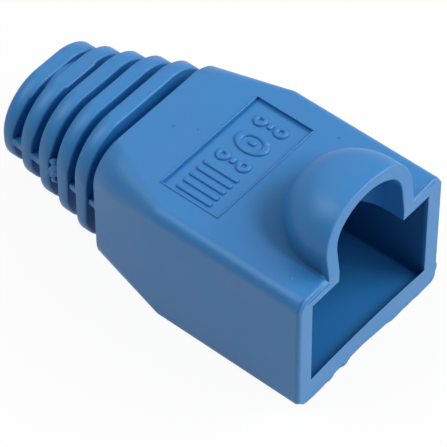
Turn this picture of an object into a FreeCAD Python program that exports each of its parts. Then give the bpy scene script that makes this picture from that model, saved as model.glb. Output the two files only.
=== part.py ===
import FreeCAD, Part
import math
import os
import Sketcher

# Strain relief boot for an 8P8C (RJ45) plug: one soft moulding.
# The box slips over the plug, the hood on top of it shields the latch, and the tail behind
# grips the cable: a thin tube that carries five ribs, joined at both sides by a narrow web
# where the two halves of the mould met.
#
# Frame: X across the boot, mouth towards -Y, tail towards +Y, +Z up. The origin is under the
# middle of the boot, on the surface that its flat base stands on. A "station" is a distance
# behind the mouth.

os.makedirs("parts", exist_ok=True)
doc = FreeCAD.newDocument("plug_boot")

# ---------------------------------------------------------------- driving dimensions (mm)
SIZES = (
    ("box_width", 14.4, "outside width of the box"),
    ("box_height", 10.4, "height of the box, base to top face"),
    ("box_length", 11.95, "parallel part of the box, mouth to bend"),
    ("taper_length", 6.05, "tapered part of the box, bend to neck"),
    ("neck_width", 12.7, "width of the box at the neck"),
    ("upper_radius", 0.9, "rounding of the long top edges, mouth to bend"),
    ("lower_radius", 0.72, "rounding of the long bottom edges, mouth to bend"),
    ("neck_upper_radius", 2.6, "rounding of the top edges at the neck"),
    ("neck_lower_radius", 2.35, "rounding of the bottom edges at the neck"),
    ("neck_bevel", 0.15, "bevel round the back face of the box"),
    ("plug_width", 11.8, "width of the socket for the plug"),
    ("side_wall_top", 1.1, "wall between the socket and the top face"),
    ("floor_wall", 2.0, "wall under the socket at its corners"),
    ("mouth_bevel", 0.27, "bevel round the outside of the mouth"),
    ("floor_step", 0.4, "drop of the floor behind the lip, which holds the plug in"),
    ("lip_depth", 0.45, "length over which the floor drops"),
    ("floor_rise", 0.22, "how far the socket's floor bows up in the middle"),
    ("plug_depth", 11.2, "depth of the socket"),
    ("floor_fall", 0.9, "how far the socket's floor drops from the mouth to its back"),
    ("funnel_length", 3.2, "length of the round funnel from the socket to the cable bore"),
    ("funnel_width", 7.2, "diameter of the funnel's front"),
    ("lip_rise", 0.35, "how far the lower lip bows up under the mouth"),
    ("lip_width", 11.0, "width of that bow"),
    ("lip_edge", 0.02, "thickness that the bow still takes off at its ends"),
    ("lip_length", 2.6, "length over which it runs out"),
    ("hood_width", 8.62, "outside width of the hood"),
    ("hood_height", 4.74, "height of the hood above the top face"),
    ("hood_straight", 1.6, "straight height of the hood's sides above the top face"),
    ("hood_side_wall", 1.05, "wall of the hood at its sides"),
    ("hood_crown_wall", 0.75, "wall of the hood at its crown"),
    ("hood_parallel", 1.5, "length of the hood before it rounds off into a dome"),
    ("hood_round_ratio", 0.95, "shoulder radius of the hood, as a share of its arch"),
    ("hollow_straight", 2.73, "straight height of the hollow's sides above the socket"),
    ("hollow_round_ratio", 0.82, "shoulder radius of the hollow, as a share of its arch"),
    ("hood_blend_side", 0.12, "blend between the hood and the top face beside the mouth"),
    ("hood_blend_back", 1.9, "blend between the hood and the top face at its back"),
    ("rim_rake", 7.4, "angle in degrees that the hood's rim leans back"),
    ("panel_width", 9.7, "width of the sunk panel on the top face"),
    ("panel_length", 4.75, "length of the sunk panel"),
    ("panel_station", 8.6, "station of the panel's front edge"),
    ("panel_depth", 0.2, "depth of the panel"),
    ("cable_width", 6.5, "diameter of the cable bore"),
    ("cable_height", 5.34, "height of the cable's axis at the neck"),
    ("tail_droop", 5.5, "angle in degrees that the tail slopes down"),
    ("tube_ratio", 0.54, "wall of the tube, as a share of the last rib's over the bore"),
    ("rib_count", 5, "number of ribs"),
    ("rib_thickness", 0.96, "thickness of a rib"),
    ("groove_width", 0.98, "gap in front of each rib"),
    ("first_rib_side", 2.8, "thickness beside the bore of the rib next to the box"),
    ("first_rib_top", 1.945, "thickness above and below the bore of the rib next to the box"),
    ("last_rib_side", 1.38, "thickness beside the bore of the rib at the tail end"),
    ("last_rib_top", 0.5, "thickness above and below the bore of the rib at the tail end"),
    ("first_round_ratio", 0.7, "corner radius over half the height, rib next to the box"),
    ("last_round_ratio", 0.96, "corner radius over half the height, rib at the tail end"),
    ("rib_edge_ratio", 0.32, "bevel of the ribs' edges, as a share of last_rib_top"),
    ("rib_power", 1.15, "how late the ribs' height falls off towards the tail end"),
    ("web_thickness", 0.55, "thickness of the side webs"),
    ("web_edge_radius", 0.1, "rounding of the side webs' edges"),
    ("web_inset", 0.08, "how far the webs stay inside the ribs' sides"),
    ("overlap", 0.2, "depth that joined features reach into each other"),
    ("nudge", 0.02, "depth by which one cut reaches just into another"),
    ("clearance", 1.0, "how far the cutting shapes reach past the outside"),
)

sheet = doc.addObject("Spreadsheet::Sheet", "size")
for row, (alias, value, meaning) in enumerate(SIZES, start=1):
    sheet.set(f"A{row}", alias)
    sheet.set(f"B{row}", str(value))
    sheet.setAlias(f"B{row}", alias)
    sheet.set(f"C{row}", meaning)
doc.recompute()

NECK = "(size.box_length + size.taper_length)"
PITCH = "(size.groove_width + size.rib_thickness)"
LENGTH = f"({NECK} + size.rib_count * {PITCH})"
TUBE_WALL = "(size.tube_ratio * size.last_rib_top)"
FIRST_RIB_WIDTH = "(size.cable_width + 2 * size.first_rib_side)"
FIRST_RIB_HEIGHT = "(size.cable_width + 2 * size.first_rib_top)"
LAST_RIB_WIDTH = "(size.cable_width + 2 * size.last_rib_side)"
LAST_RIB_HEIGHT = "(size.cable_width + 2 * size.last_rib_top)"
SOCKET_TOP = "(size.box_height - size.side_wall_top)"
FUNNEL_END = "(size.plug_depth + size.funnel_length)"
RIB_COUNT = int(sheet.get("rib_count"))


def number(expression):
    """Value of a sheet expression, to start a sketch near its solution."""
    result = sheet.evalExpression(str(expression))
    return float(getattr(result, "Value", result))


def axis_height(station):
    """Height of the cable's axis at a station: the tail slopes down behind the neck."""
    return f"(size.cable_height - (({station}) - {NECK}) * tan(size.tail_droop * 1 deg))"


# ---------------------------------------------------------------- the body and its sketches
boot = doc.addObject("PartDesign::Body", "boot_body")
PLANES = {feature.Role: feature for feature in boot.Origin.OriginFeatures}


def sketch_across(name, station):
    """Sketch that stands across the boot at a station: its x is X and its y is Z."""
    sketch = boot.newObject("Sketcher::SketchObject", name)
    sketch.AttachmentSupport = [(PLANES["XZ_Plane"], "")]
    sketch.MapMode = "FlatFace"
    sketch.setExpression("AttachmentOffset.Base.z", f"{LENGTH} / 2 - ({station})")
    return sketch


def drive(sketch, constraint, name, expression):
    """Add a dimension to a sketch and bind it to the sheet."""
    index = sketch.addConstraint(constraint)
    sketch.renameConstraint(index, name)
    sketch.setExpression(f"Constraints.{name}", str(expression))


def line(x0, y0, x1, y1):
    return Part.LineSegment(FreeCAD.Vector(x0, y0, 0), FreeCAD.Vector(x1, y1, 0))


def arc(x, y, radius, start, end):
    circle = Part.Circle(FreeCAD.Vector(x, y, 0), FreeCAD.Vector(0, 0, 1), radius)
    return Part.ArcOfCircle(circle, start, end)


START, END, CENTRE = range(1, 4)
ORIGIN_POINT = (-1, 1)
UPRIGHT_AXIS = -2
QUARTER = math.pi / 2


def rounded_section(name, station, half_width, top, height, upper_radius, lower_radius):
    """Rounded rectangle across the boot, from `top` down by `height`."""
    sketch = sketch_across(name, station)
    a, z1, tall, ru, rl = map(number, (half_width, top, height, upper_radius, lower_radius))
    z0 = z1 - tall
    sketch.addGeometry([
        line(-a + ru, z1, a - ru, z1),
        arc(a - ru, z1 - ru, ru, 0, QUARTER),
        line(a, z1 - ru, a, z0 + rl),
        arc(a - rl, z0 + rl, rl, 3 * QUARTER, 4 * QUARTER),
        line(a - rl, z0, -a + rl, z0),
        arc(-a + rl, z0 + rl, rl, 2 * QUARTER, 3 * QUARTER),
        line(-a, z0 + rl, -a, z1 - ru),
        arc(-a + ru, z1 - ru, ru, QUARTER, 2 * QUARTER),
    ], False)
    joints = ((0, END, 1, END), (1, START, 2, START), (2, END, 3, END), (3, START, 4, START),
              (4, END, 5, END), (5, START, 6, START), (6, END, 7, END), (7, START, 0, START))
    sketch.addConstraint([Sketcher.Constraint("Tangent", *joint) for joint in joints])
    sketch.addConstraint([
        Sketcher.Constraint("Symmetric", 0, START, 0, END, UPRIGHT_AXIS),
        Sketcher.Constraint("Horizontal", 4),
        Sketcher.Constraint("Vertical", 2),
        Sketcher.Constraint("Vertical", 6),
        Sketcher.Constraint("Equal", 1, 7),
        Sketcher.Constraint("Equal", 3, 5),
    ])
    drive(sketch, Sketcher.Constraint("Radius", 1, ru), "upper_radius", upper_radius)
    drive(sketch, Sketcher.Constraint("Radius", 3, rl), "lower_radius", lower_radius)
    drive(sketch, Sketcher.Constraint("DistanceX", *ORIGIN_POINT, 2, START, a),
          "half_width", half_width)
    drive(sketch, Sketcher.Constraint("DistanceY", *ORIGIN_POINT, 0, START, z1), "top", top)
    drive(sketch, Sketcher.Constraint("DistanceY", 4, START, 0, START, tall), "height", height)
    return sketch


def arch_sizes(half_width, straight, rise, shoulder):
    """Radii of an arch's shoulders and crown, which touch without a corner."""
    corner = f"({shoulder} * {rise})"
    inner = f"({half_width} - {corner})"
    crown = f"(({inner} * {inner} + {rise} * {rise} - {corner} * {corner})" \
            f" / (2 * ({rise} - {corner})))"
    return corner, crown


def arch_section(name, station, foot, floor, arch):
    """Arch across the boot. `arch` is its half width, the straight height of its sides above
    `floor`, the rise of its curve and the radius of its shoulders over that rise. The sides
    start lower down, at `foot`."""
    half_width, straight, rise, shoulder = arch
    corner, crown = arch_sizes(*arch)
    sketch = sketch_across(name, station)
    w, z0, zs, r = map(number, (half_width, foot, f"{floor} + {straight}", rise))
    rc, rt = number(corner), number(crown)
    swing = math.atan2(rt - r, w - rc)
    sketch.addGeometry([
        line(-w, z0, w, z0),
        line(w, z0, w, zs),
        arc(w - rc, zs, rc, 0, swing),
        arc(0, zs + r - rt, rt, swing, math.pi - swing),
        arc(rc - w, zs, rc, math.pi - swing, math.pi),
        line(-w, zs, -w, z0),
    ], False)
    sketch.addConstraint([
        Sketcher.Constraint("Coincident", 0, END, 1, START),
        Sketcher.Constraint("Coincident", 5, END, 0, START),
        Sketcher.Constraint("Tangent", 1, END, 2, START),
        Sketcher.Constraint("Tangent", 2, END, 3, START),
        Sketcher.Constraint("Tangent", 3, END, 4, START),
        Sketcher.Constraint("Tangent", 4, END, 5, START),
        Sketcher.Constraint("Symmetric", 0, START, 0, END, UPRIGHT_AXIS),
        Sketcher.Constraint("Vertical", 1),
        Sketcher.Constraint("Vertical", 5),
        Sketcher.Constraint("Equal", 2, 4),
        Sketcher.Constraint("Horizontal", 1, END, 5, START),
    ])
    drive(sketch, Sketcher.Constraint("DistanceX", *ORIGIN_POINT, 1, START, w),
          "half_width", half_width)
    drive(sketch, Sketcher.Constraint("DistanceY", *ORIGIN_POINT, 1, START, z0), "foot", foot)
    drive(sketch, Sketcher.Constraint("DistanceY", *ORIGIN_POINT, 1, END, zs),
          "spring", f"{floor} + {straight}")
    drive(sketch, Sketcher.Constraint("Radius", 2, rc), "shoulder", corner)
    drive(sketch, Sketcher.Constraint("Radius", 3, rt), "crown", crown)
    return sketch


def half_arch_section(name, station, foot, floor, arch, side):
    """One half of an arch, to spin round its upright middle line: side 1 is +X, -1 is -X."""
    half_width, straight, rise, shoulder = arch
    corner, crown = arch_sizes(*arch)
    sketch = sketch_across(name, station)
    w, z0, zs, r = map(number, (half_width, foot, f"{floor} + {straight}", rise))
    rc, rt = number(corner), number(crown)
    swing = math.atan2(rt - r, w - rc)
    near, far = (START, END) if side > 0 else (END, START)
    turned = (lambda a, b: (a, b)) if side > 0 else (lambda a, b: (math.pi - b, math.pi - a))
    sketch.addGeometry([
        line(0, z0, side * w, z0),
        line(side * w, z0, side * w, zs),
        arc(side * (w - rc), zs, rc, *turned(0, swing)),
        arc(0, zs + r - rt, rt, *turned(swing, QUARTER)),
        line(0, zs + r, 0, z0),
    ], False)
    sketch.addConstraint([
        Sketcher.Constraint("Coincident", 0, END, 1, START),
        Sketcher.Constraint("Tangent", 1, END, 2, near),
        Sketcher.Constraint("Tangent", 2, far, 3, near),
        Sketcher.Constraint("Coincident", 3, far, 4, START),
        Sketcher.Constraint("Coincident", 4, END, 0, START),
        Sketcher.Constraint("Horizontal", 0),
        Sketcher.Constraint("Vertical", 1),
        Sketcher.Constraint("PointOnObject", 4, START, UPRIGHT_AXIS),
        Sketcher.Constraint("PointOnObject", 4, END, UPRIGHT_AXIS),
        Sketcher.Constraint("PointOnObject", 3, CENTRE, UPRIGHT_AXIS),
    ])
    span = (*ORIGIN_POINT, 1, START) if side > 0 else (1, START, *ORIGIN_POINT)
    drive(sketch, Sketcher.Constraint("DistanceX", *span, w), "half_width", half_width)
    drive(sketch, Sketcher.Constraint("DistanceY", *ORIGIN_POINT, 1, START, z0), "foot", foot)
    drive(sketch, Sketcher.Constraint("DistanceY", *ORIGIN_POINT, 1, END, zs),
          "spring", f"{floor} + {straight}")
    drive(sketch, Sketcher.Constraint("Radius", 2, rc), "shoulder", corner)
    drive(sketch, Sketcher.Constraint("Radius", 3, rt), "crown", crown)
    return sketch


def bowed_section(name, station, half_width, bowed, straight, rise):
    """Rectangle across the boot: one side is straight and the other, whose ends lie at the
    height `bowed`, bows up by `rise` in the middle."""
    sketch = sketch_across(name, station)
    a, zb, zs, s = map(number, (half_width, bowed, straight, rise))
    radius = f"(({half_width}) * ({half_width}) + ({rise}) * ({rise})) / (2 * ({rise}))"
    r = number(radius)
    half_angle = math.asin(a / r)
    sketch.addGeometry([
        line(-a, zb, -a, zs),
        line(-a, zs, a, zs),
        line(a, zs, a, zb),
        arc(0, zb + s - r, r, QUARTER - half_angle, QUARTER + half_angle),
    ], False)
    sketch.addConstraint([
        Sketcher.Constraint("Coincident", 0, END, 1, START),
        Sketcher.Constraint("Coincident", 1, END, 2, START),
        Sketcher.Constraint("Coincident", 2, END, 3, START),
        Sketcher.Constraint("Coincident", 3, END, 0, START),
        Sketcher.Constraint("Symmetric", 1, START, 1, END, UPRIGHT_AXIS),
        Sketcher.Constraint("Vertical", 0),
        Sketcher.Constraint("Vertical", 2),
        Sketcher.Constraint("Horizontal", 0, START, 2, END),
    ])
    drive(sketch, Sketcher.Constraint("DistanceY", *ORIGIN_POINT, 0, START, zb),
          "bowed", bowed)
    drive(sketch, Sketcher.Constraint("DistanceY", *ORIGIN_POINT, 1, START, zs),
          "straight", straight)
    drive(sketch, Sketcher.Constraint("DistanceX", *ORIGIN_POINT, 1, END, a),
          "half_width", half_width)
    drive(sketch, Sketcher.Constraint("Radius", 3, r), "bow", radius)
    return sketch


def loft(kind, name, sections, ruled):
    """Additive or subtractive loft through sketches, front to back."""
    feature = boot.newObject(f"PartDesign::{kind}Loft", name)
    feature.Profile = sections[0]
    feature.Sections = sections[1:]
    feature.Ruled = ruled
    boot.Tip = feature
    doc.recompute()
    return feature


def add_feature(kind, name, sketch):
    """Pad, pocket or turned feature of one sketch; its size is set by the caller."""
    feature = boot.newObject(f"PartDesign::{kind}", name)
    feature.Profile = sketch
    boot.Tip = feature
    return feature


HALF_LENGTH = number(LENGTH) / 2
TOUCH = 0.001


def edges_at(stations, away_from_axis):
    """Names of the edges that lie flat at one of the stations and keep clear of the cable's
    axis by more than a distance, so the outlines and not the tube's circles."""
    names = []
    for index, edge in enumerate(boot.Shape.Edges, start=1):
        box = edge.BoundBox
        middle = edge.valueAt((edge.FirstParameter + edge.LastParameter) / 2)
        for station in stations:
            y = number(station) - HALF_LENGTH
            reach = math.hypot(middle.x, middle.z - number(axis_height(station)))
            if box.YLength < TOUCH and abs(middle.y - y) < TOUCH and reach > away_from_axis:
                names.append(f"Edge{index}")
    return names


def bevel(name, edges, bevel_size):
    """Bevel along edges of the solid so far."""
    before = boot.Tip
    feature = boot.newObject("PartDesign::Chamfer", name)
    feature.Base = (before, edges)
    feature.setExpression("Size", bevel_size)
    boot.Tip = feature
    doc.recompute()


def on_cable_axis(name, shape, station, sizes):
    """Cylinder or cone on the cable's drooping axis, from a station towards the mouth."""
    feature = boot.newObject(f"PartDesign::{shape}", name)
    feature.AttachmentSupport = [(PLANES["XZ_Plane"], "")]
    feature.MapMode = "FlatFace"
    feature.AttachmentOffset = FreeCAD.Placement(
        FreeCAD.Vector(0, 0, 0), FreeCAD.Rotation(FreeCAD.Vector(-1, 0, 0), 1))
    feature.setExpression("AttachmentOffset.Rotation.Angle", "size.tail_droop * 1 deg")
    feature.setExpression("AttachmentOffset.Base.y", axis_height(station))
    feature.setExpression("AttachmentOffset.Base.z", f"{LENGTH} / 2 - ({station})")
    for size, expression in sizes.items():
        feature.setExpression(size, expression)
    boot.Tip = feature
    doc.recompute()


# ---------------------------------------------------------------- the box
# Straight from the mouth to the bend, then narrowing to the neck.
bend_outline = rounded_section(
    "bend_outline", "size.box_length", "size.box_width / 2", "size.box_height",
    "size.box_height", "size.upper_radius", "size.lower_radius")
add_feature("Pad", "front_box", bend_outline).setExpression("Length", "size.box_length")
doc.recompute()
bevel("mouth_edge", edges_at(["0"], 0), "size.mouth_bevel")
loft("Additive", "taper", [
    bend_outline,
    rounded_section("neck_outline", f"({NECK} - size.neck_bevel)", "size.neck_width / 2",
                    "size.box_height", "size.box_height", "size.neck_upper_radius",
                    "size.neck_lower_radius"),
    rounded_section("neck_face", NECK, "(size.neck_width / 2 - size.neck_bevel)",
                    "(size.box_height - size.neck_bevel)",
                    "(size.box_height - 2 * size.neck_bevel)",
                    "(size.neck_upper_radius - size.neck_bevel)",
                    "(size.neck_lower_radius - size.neck_bevel)"),
], ruled=True)

# ---------------------------------------------------------------- the tail
on_cable_axis("tube", "AdditiveCylinder", f"({LENGTH} - size.rib_thickness / 2)", {
    "Radius": f"size.cable_width / 2 + {TUBE_WALL}",
    "Height": f"size.rib_count * {PITCH} - size.rib_thickness / 2 + size.overlap",
})


def between_ribs(first, last, rib, power="1"):
    """Size of rib number `rib` (0 next to the box), from the first and the last rib's."""
    share = f"({rib} / (size.rib_count - 1)) ^ {power}"
    return f"({first} - ({first} - {last}) * {share})"


rib_faces = []
for rib in range(RIB_COUNT):
    front = f"({NECK} + {rib} * {PITCH} + size.groove_width)"
    middle = f"({front} + size.rib_thickness / 2)"
    rear = f"({front} + size.rib_thickness)"
    tall = between_ribs(FIRST_RIB_HEIGHT, LAST_RIB_HEIGHT, rib, "size.rib_power")
    rounding = between_ribs("size.first_round_ratio", "size.last_round_ratio", rib)
    radius = f"({rounding} * {tall} / 2)"
    outline = rounded_section(
        f"rib_{rib + 1}_outline", rear,
        between_ribs(FIRST_RIB_WIDTH, LAST_RIB_WIDTH, rib) + " / 2",
        f"({axis_height(middle)} + {tall} / 2)", tall, radius, radius)
    add_feature("Pad", f"rib_{rib + 1}", outline).setExpression("Length",
                                                                "size.rib_thickness")
    doc.recompute()
    rib_faces += [front, rear]

OUTSIDE_TUBE = number(f"size.cable_width / 2 + {TUBE_WALL} + size.overlap / 4")
bevel("rib_edges", edges_at(rib_faces, OUTSIDE_TUBE),
      "size.rib_edge_ratio * size.last_rib_top")


def web_section(name, station, half_width):
    return rounded_section(name, station, half_width,
                           f"({axis_height(station)} + size.web_thickness / 2)",
                           "size.web_thickness", "size.web_edge_radius",
                           "size.web_edge_radius")


WEB_END = f"({LENGTH} - size.rib_thickness / 2)"
loft("Additive", "side_webs", [
    web_section("web_front", f"({NECK} - size.overlap)",
                f"({FIRST_RIB_WIDTH} / 2 - size.web_inset)"),
    web_section("web_rear", WEB_END, f"({LAST_RIB_WIDTH} / 2 - size.web_inset)"),
], ruled=True)

# ---------------------------------------------------------------- the hood
# From the front the hood is an arch. It runs back straight and then ends in a dome: half of
# the arch spun round its upright middle line, a quarter turn for each side.
HOOD_ARCH = ("(size.hood_width / 2)", "size.hood_straight",
             "(size.hood_height - size.hood_straight)", "size.hood_round_ratio")
HOOD_FOOT = "(size.box_height - size.mouth_bevel - size.overlap)"
vault = add_feature("Pad", "hood_vault", arch_section(
    "hood_arch", "0", HOOD_FOOT, "size.box_height", HOOD_ARCH))
vault.setExpression("Length", "size.hood_parallel")
vault.Reversed = True
for side, word in ((1, "right"), (-1, "left")):
    profile = half_arch_section(f"dome_{word}_profile", "size.hood_parallel", HOOD_FOOT,
                                "size.box_height", HOOD_ARCH, side)
    dome = add_feature("Revolution", f"dome_{word}", profile)
    dome.ReferenceAxis = (profile, ["V_Axis"])
    dome.Angle = 90
    dome.Reversed = side < 0
    dome.Refine = False
doc.recompute()

# The rim leans back: all of the hood in front of a sloping plane goes. The plane passes
# through the top edge of the mouth.
rim_slope = boot.newObject("Sketcher::SketchObject", "rim_slope")
rim_slope.AttachmentSupport = [(PLANES["YZ_Plane"], "")]
rim_slope.MapMode = "FlatFace"
TALL = "(size.hood_height + size.clearance)"
mouth_y, foot, tall, clear = map(number, (f"-{LENGTH} / 2", "size.box_height", TALL,
                                          "size.clearance"))
lean = number(f"{TALL} * tan(size.rim_rake * 1 deg)")
rim_slope.addGeometry([
    line(mouth_y, foot, mouth_y + lean, foot + tall),
    line(mouth_y + lean, foot + tall, mouth_y - clear, foot + tall),
    line(mouth_y - clear, foot + tall, mouth_y - clear, foot),
    line(mouth_y - clear, foot, mouth_y, foot),
], False)
rim_slope.addConstraint([
    Sketcher.Constraint("Coincident", 0, END, 1, START),
    Sketcher.Constraint("Coincident", 1, END, 2, START),
    Sketcher.Constraint("Coincident", 2, END, 3, START),
    Sketcher.Constraint("Coincident", 3, END, 0, START),
    Sketcher.Constraint("Horizontal", 1),
    Sketcher.Constraint("Vertical", 2),
    Sketcher.Constraint("Horizontal", 3),
])
drive(rim_slope, Sketcher.Constraint("DistanceX", 0, START, *ORIGIN_POINT, -mouth_y),
      "mouth", f"{LENGTH} / 2")
drive(rim_slope, Sketcher.Constraint("DistanceY", *ORIGIN_POINT, 0, START, foot),
      "foot", "size.box_height")
drive(rim_slope, Sketcher.Constraint("DistanceY", 0, START, 0, END, tall), "tall", TALL)
drive(rim_slope, Sketcher.Constraint("DistanceX", 0, START, 0, END, lean),
      "lean", f"{TALL} * tan(size.rim_rake * 1 deg)")
drive(rim_slope, Sketcher.Constraint("DistanceX", 3, START, 3, END, clear),
      "clear", "size.clearance")
rim = add_feature("Pocket", "rim", rim_slope)
rim.Midplane = True
rim.setExpression("Length", "size.hood_width + 2 * size.clearance")
doc.recompute()

# ---------------------------------------------------------------- the hollow for the plug
SOCKET_HALF = "(size.plug_width / 2)"
loft("Subtractive", "socket", [
    bowed_section("socket_mouth", "0", SOCKET_HALF, "size.floor_wall", SOCKET_TOP,
                  "size.floor_rise"),
    bowed_section("socket_lip", "size.lip_depth", SOCKET_HALF,
                  "(size.floor_wall - size.floor_step)", SOCKET_TOP, "size.floor_rise"),
    bowed_section("socket_back", "size.plug_depth", SOCKET_HALF,
                  "(size.floor_wall - size.floor_fall)", SOCKET_TOP, "size.floor_rise"),
], ruled=True)

# The funnel guides the cable: a cone from the socket's back wall to the round bore. Its wide
# end reaches a little into the socket, as it droops with the bore.
on_cable_axis("funnel", "SubtractiveCone", FUNNEL_END, {
    "Radius1": "size.cable_width / 2 - size.nudge",
    "Radius2": "size.funnel_width / 2",
    "Height": "size.funnel_length + 2 * size.overlap",
})
on_cable_axis("cable_bore", "SubtractiveCylinder", f"({LENGTH} + size.clearance)", {
    "Radius": "size.cable_width / 2",
    "Height": f"{LENGTH} - {FUNNEL_END} + size.overlap + size.clearance",
})

# The hollow of the hood follows its outside a wall's thickness inside, and opens down into
# the socket.
HOLLOW_ARCH = ("(size.hood_width / 2 - size.hood_side_wall)", "size.hollow_straight",
               "(size.hood_height + size.side_wall_top - size.hood_crown_wall"
               " - size.hollow_straight)", "size.hollow_round_ratio")
HOLLOW_FOOT = f"({SOCKET_TOP} - size.overlap)"
cut = add_feature("Pocket", "hollow_vault", arch_section(
    "hollow_arch", "0", HOLLOW_FOOT, SOCKET_TOP, HOLLOW_ARCH))
cut.setExpression("Length", "size.hood_parallel")
for side, word in ((1, "right"), (-1, "left")):
    profile = half_arch_section(f"hollow_{word}_profile", "size.hood_parallel", HOLLOW_FOOT,
                                SOCKET_TOP, HOLLOW_ARCH, side)
    cut = add_feature("Groove", f"hollow_{word}", profile)
    cut.ReferenceAxis = (profile, ["V_Axis"])
    cut.Angle = 90
    cut.Reversed = side < 0
doc.recompute()

# ---------------------------------------------------------------- small features
# A shallow panel is sunk into the top face, across the bend.
panel_outline = boot.newObject("Sketcher::SketchObject", "panel_outline")
panel_outline.AttachmentSupport = [(PLANES["XY_Plane"], "")]
panel_outline.MapMode = "FlatFace"
panel_outline.setExpression("AttachmentOffset.Base.z", "size.box_height")
side = number("size.panel_width / 2")
near = number(f"size.panel_station - {LENGTH} / 2")
far = near + number("size.panel_length")
panel_outline.addGeometry([line(-side, near, side, near), line(side, near, side, far),
                           line(side, far, -side, far), line(-side, far, -side, near)], False)
panel_outline.addConstraint([
    Sketcher.Constraint("Coincident", 0, END, 1, START),
    Sketcher.Constraint("Coincident", 1, END, 2, START),
    Sketcher.Constraint("Coincident", 2, END, 3, START),
    Sketcher.Constraint("Coincident", 3, END, 0, START),
    Sketcher.Constraint("Symmetric", 0, START, 0, END, UPRIGHT_AXIS),
    Sketcher.Constraint("Vertical", 1),
    Sketcher.Constraint("Vertical", 3),
    Sketcher.Constraint("Horizontal", 2),
])
drive(panel_outline, Sketcher.Constraint("DistanceX", 0, START, 0, END, 2 * side),
      "width", "size.panel_width")
drive(panel_outline, Sketcher.Constraint("DistanceY", 1, START, 1, END, far - near),
      "length", "size.panel_length")
drive(panel_outline, Sketcher.Constraint("DistanceY", *ORIGIN_POINT, 0, START, near),
      "front", f"size.panel_station - {LENGTH} / 2")
add_feature("Pocket", "panel", panel_outline).setExpression("Length", "size.panel_depth")
doc.recompute()

# The lower lip bows up under the mouth and comes back to the flat base further in.
loft("Subtractive", "lip_relief", [
    bowed_section("lip_front", "0", "size.lip_width / 2", "size.lip_edge",
                  "-size.clearance", "size.lip_rise"),
    bowed_section("lip_back", "size.lip_length", "size.lip_width / 2", "size.lip_edge",
                  "-size.clearance", "size.lip_edge"),
], ruled=True)

# The hood blends into the top face: nearly sharp beside the mouth, and wider and wider round
# the dome to its back. The foot of the hood is four edges in the plane of the top face, and
# an edge's two radii are those at its ends.
finished = doc.addObject("Part::Fillet", "boot")
finished.Label = "boot"
finished.Base = boot
finished.Placement = FreeCAD.Placement()
hood_half, top_face = number("size.hood_width / 2"), number("size.box_height")


def radius_at(point):
    """Radius of the blend at one end of an edge of the hood's foot."""
    at_back = abs(point.x) < TOUCH
    return number("size.hood_blend_back" if at_back else "size.hood_blend_side")


hood_foot = []
for index, edge in enumerate(boot.Shape.Edges, start=1):
    ends = [edge.valueAt(edge.FirstParameter), edge.valueAt(edge.LastParameter)]
    level = edge.BoundBox.ZLength < TOUCH and abs(ends[0].z - top_face) < TOUCH
    widest = max(abs(point.x) for point in ends)
    if level and abs(widest - hood_half) < TOUCH and edge.BoundBox.YLength > TOUCH:
        hood_foot.append((index, radius_at(ends[0]), radius_at(ends[1])))
if len(hood_foot) != 4:
    raise RuntimeError(f"the hood's foot should be four edges, not {len(hood_foot)}")
finished.Edges = hood_foot

# ---------------------------------------------------------------- checks and export
doc.recompute()
for item in doc.Objects:
    if "Invalid" in item.State or "Error" in item.State:
        raise RuntimeError(f"{item.Name} did not compute: {item.getStatusString()}")
shape = finished.Shape
if shape.isNull() or not shape.isValid() or len(shape.Solids) != 1:
    raise RuntimeError("the boot is not one valid solid")
shape.exportStep(f"parts/{finished.Label}.step")
box = shape.optimalBoundingBox()
print(f"boot: {shape.Volume:.0f} mm3, {box.XLength:.2f} x {box.YLength:.2f} x "
      f"{box.ZLength:.2f} mm, stands at {box.ZMin:.3f}")
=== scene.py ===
# %% [markdown]
# # A strain relief boot for a network plug
# This lesson dresses one soft plastic boot. Its solid comes from the CAD model; here it gets
# a skin with true shading, the small moulding faults that a real one has, and a material
# that looks like satin PVC. Everything is in metres, in the CAD model's own frame: X goes
# across the boot, the mouth faces -Y, the ribbed tail +Y, and the hood points up.

# %% Load the frame
import math

import bpy
import bmesh
from mathutils import Euler, Matrix, Vector


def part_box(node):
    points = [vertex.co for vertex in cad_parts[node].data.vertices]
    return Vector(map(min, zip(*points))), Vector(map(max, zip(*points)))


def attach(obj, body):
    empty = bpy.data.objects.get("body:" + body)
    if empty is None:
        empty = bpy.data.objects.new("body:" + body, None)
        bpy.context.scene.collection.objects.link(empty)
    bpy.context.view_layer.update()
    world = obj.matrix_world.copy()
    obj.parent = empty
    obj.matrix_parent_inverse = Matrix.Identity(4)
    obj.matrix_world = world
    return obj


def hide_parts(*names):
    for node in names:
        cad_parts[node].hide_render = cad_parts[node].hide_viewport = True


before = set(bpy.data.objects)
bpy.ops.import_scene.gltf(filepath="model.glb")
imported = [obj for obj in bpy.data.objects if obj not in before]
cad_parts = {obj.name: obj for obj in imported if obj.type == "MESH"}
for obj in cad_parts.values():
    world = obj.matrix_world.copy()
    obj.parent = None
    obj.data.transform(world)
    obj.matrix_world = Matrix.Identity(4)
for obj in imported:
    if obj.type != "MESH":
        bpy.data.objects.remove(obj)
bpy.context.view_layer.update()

MM = 0.001
boot_low, boot_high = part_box("boot")
BOOT_MIDDLE = Vector((0.0, 0.0, 6 * MM))
MOUTH_Y = boot_low.y
PANEL_TOP = 10.4 * MM
HOOD_MIDDLE_Y = MOUTH_Y + 1.5 * MM
HOOD_RADIUS = 4.31 * MM
SOCKET_SIDE = 5.9 * MM
SOCKET_TOP = 9.3 * MM
SOCKET_BACK_Y = MOUTH_Y + 11.2 * MM
print("boot measures", [round((b - a) / MM, 2) for a, b in zip(boot_low, boot_high)], "mm")


# %% [markdown]
# ## The camera
# A long lens from far away keeps the boot's edges nearly parallel, as catalogue pictures of
# small parts do. The camera stands in front of the mouth, to its left and high up, so that
# it sees the top, the left side and into the socket. Its place could be found by eye with a
# helper object to look at; here the angles are given directly, which keeps them readable.

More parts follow.
